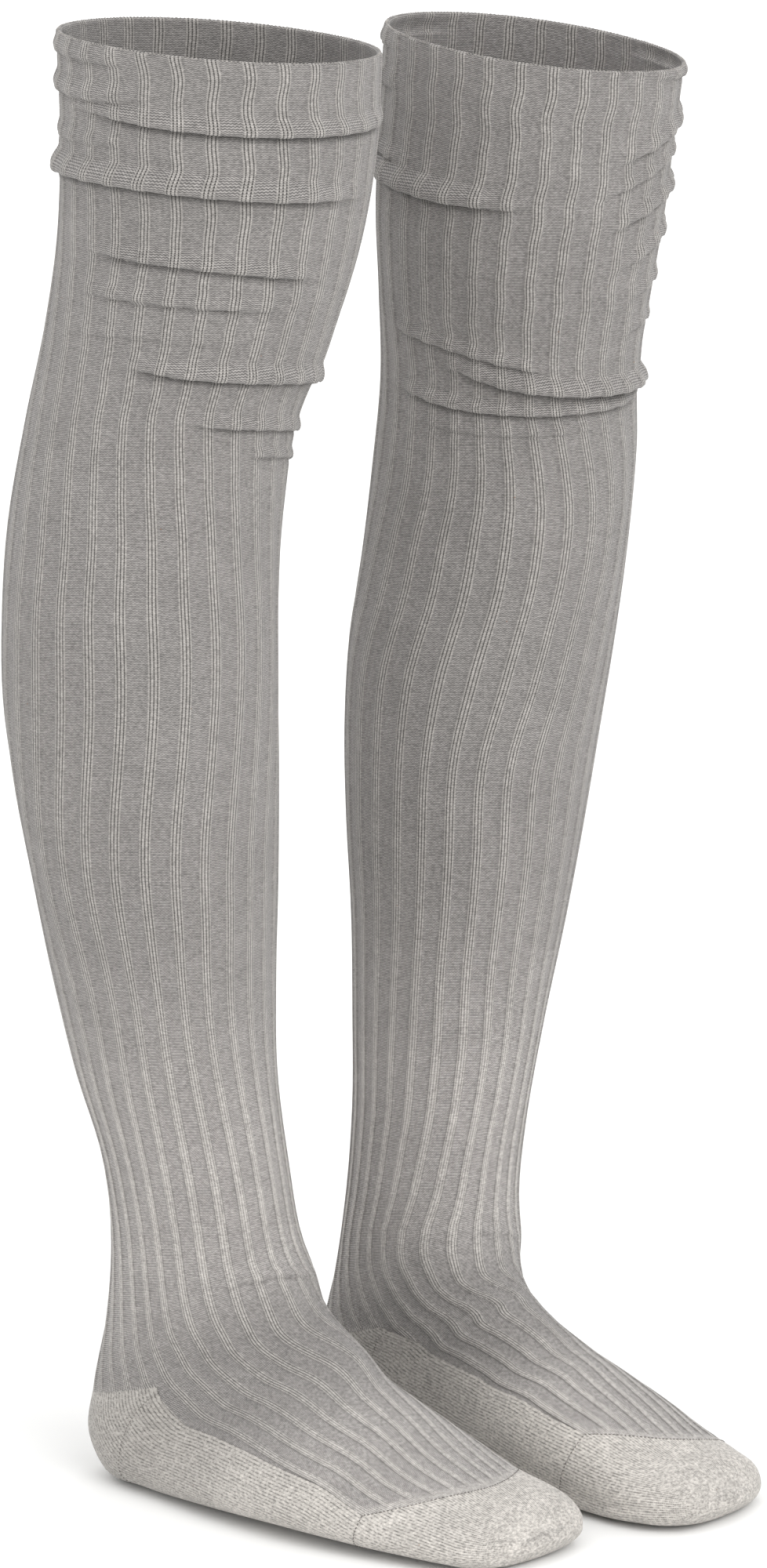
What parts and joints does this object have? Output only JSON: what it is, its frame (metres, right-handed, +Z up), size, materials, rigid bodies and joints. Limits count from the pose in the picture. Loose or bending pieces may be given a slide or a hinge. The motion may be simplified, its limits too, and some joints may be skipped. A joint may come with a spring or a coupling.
{
  "type": "pair of over-the-knee socks",
  "caption": "Ribbed over-the-knee knit socks with a turned cuff and plain heel and toe pockets, open at the top and shaped as when worn.",
  "frame": {"origin": "middle of the right sock's leg opening", "axes": "+Z up the legs, -Y the way the toes point, +X from the right sock to the left one"},
  "size_m": [0.3166, 0.2606, 0.6305],
  "materials": {
    "heather_rib_knit": "matt ribbed knit of mixed grey yarn",
    "heather_plain_knit": "matt plain knit of mixed grey yarn"
  },
  "bodies": {
    "root": {"right_cuff": "heather_rib_knit", "right_leg": "heather_rib_knit", "right_instep": "heather_rib_knit", "right_heel": "heather_plain_knit", "right_sole": "heather_plain_knit", "right_toe": "heather_plain_knit", "left_cuff": "heather_rib_knit", "left_leg": "heather_rib_knit", "left_instep": "heather_rib_knit", "left_heel": "heather_plain_knit", "left_sole": "heather_plain_knit", "left_toe": "heather_plain_knit"}
  },
  "joints": []
}
